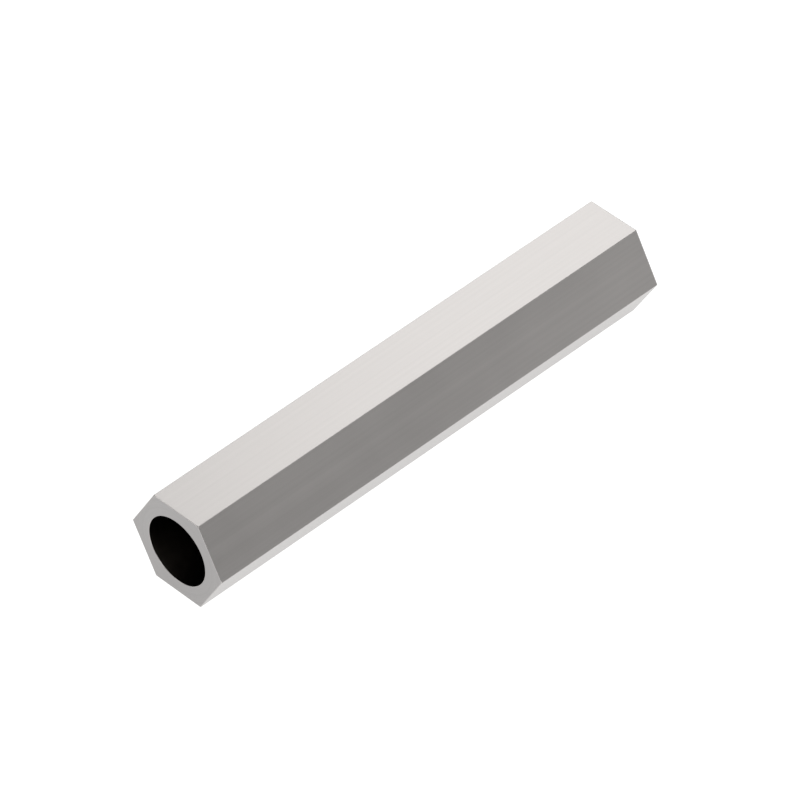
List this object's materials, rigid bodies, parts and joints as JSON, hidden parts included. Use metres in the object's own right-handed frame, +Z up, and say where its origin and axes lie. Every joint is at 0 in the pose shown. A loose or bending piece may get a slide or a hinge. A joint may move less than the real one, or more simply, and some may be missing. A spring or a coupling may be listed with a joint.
{
  "type": "hex standoff",
  "caption": "Hexagonal steel standoff with a plain clearance bore right through it, clamped between two boards or panels by a screw along its axis.",
  "frame": {"origin": "middle of the flat that the standoff lies on, midway between its end faces", "axes": "+X along the bore, +Z up, square to the flat that it lies on"},
  "size_m": [0.045, 0.0092, 0.008],
  "materials": {
    "satin_steel": "satin"
  },
  "bodies": {
    "root": {"hex_standoff": "satin_steel"}
  },
  "joints": []
}
